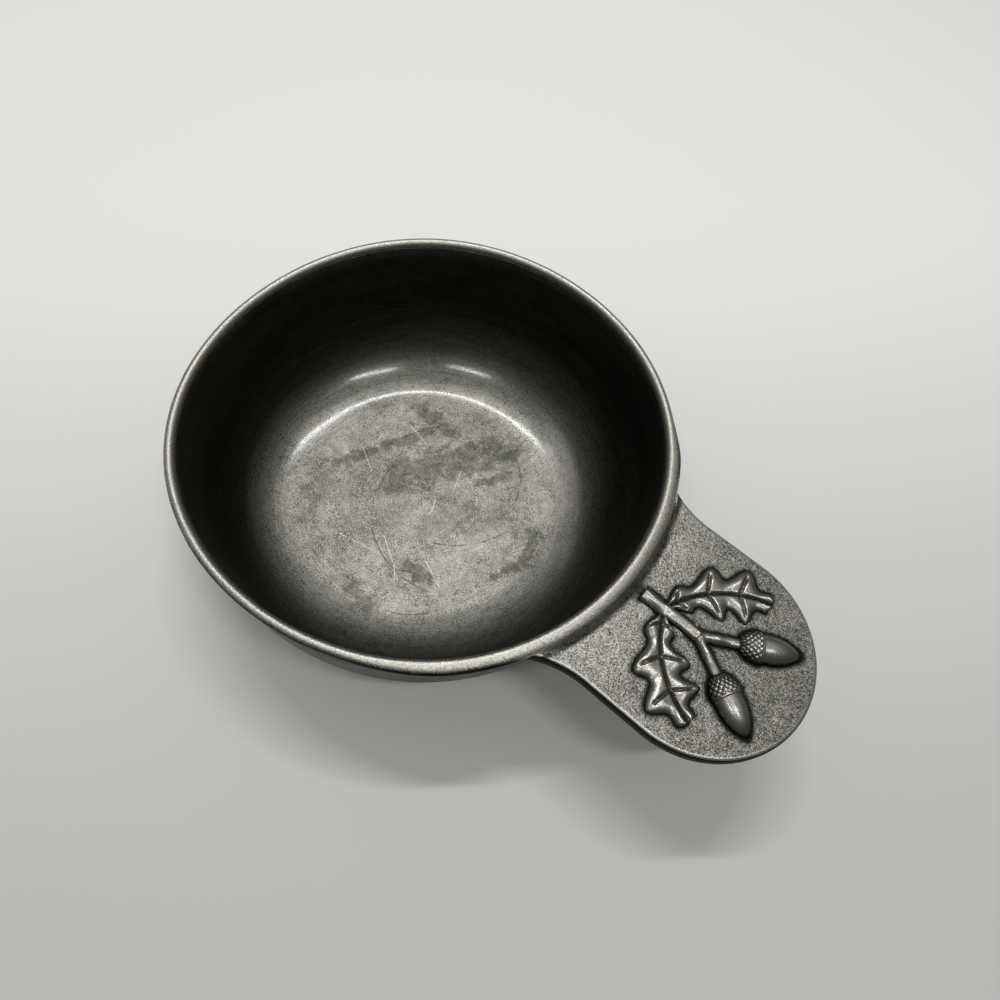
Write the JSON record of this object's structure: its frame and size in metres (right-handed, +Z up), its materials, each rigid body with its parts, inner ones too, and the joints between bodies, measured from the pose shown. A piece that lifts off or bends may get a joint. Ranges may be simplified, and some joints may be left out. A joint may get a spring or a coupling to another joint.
{
  "type": "porringer",
  "caption": "Shallow round pewter bowl with a wired lip and one flat ear handle that carries an oak sprig in relief.",
  "frame": {"origin": "middle of the bowl's flat base, on the table", "axes": "+Z up along the bowl's axis, +X along the ear handle"},
  "size_m": [0.1649, 0.12, 0.0417],
  "materials": {
    "bowl_pewter": "satin pewter, worn grey on the floor and dark with patina on the walls",
    "rim_pewter": "burnished pewter, bright along the crest",
    "ear_pewter": "cast pewter with a fine dark speckle",
    "solder": "dull grey solder",
    "sprig_pewter": "cast pewter, dark in the hollows and worn bright on the high places"
  },
  "bodies": {
    "root": {"bowl_body": "bowl_pewter", "rim_wire": "rim_pewter", "handle_tab": "ear_pewter", "handle_solder": "solder", "twig": "sprig_pewter", "leaf_left": "sprig_pewter", "leaf_right": "sprig_pewter", "acorn_nut_left": "sprig_pewter", "acorn_nut_right": "sprig_pewter", "acorn_cup_left": "sprig_pewter", "acorn_cup_right": "sprig_pewter"}
  },
  "joints": []
}
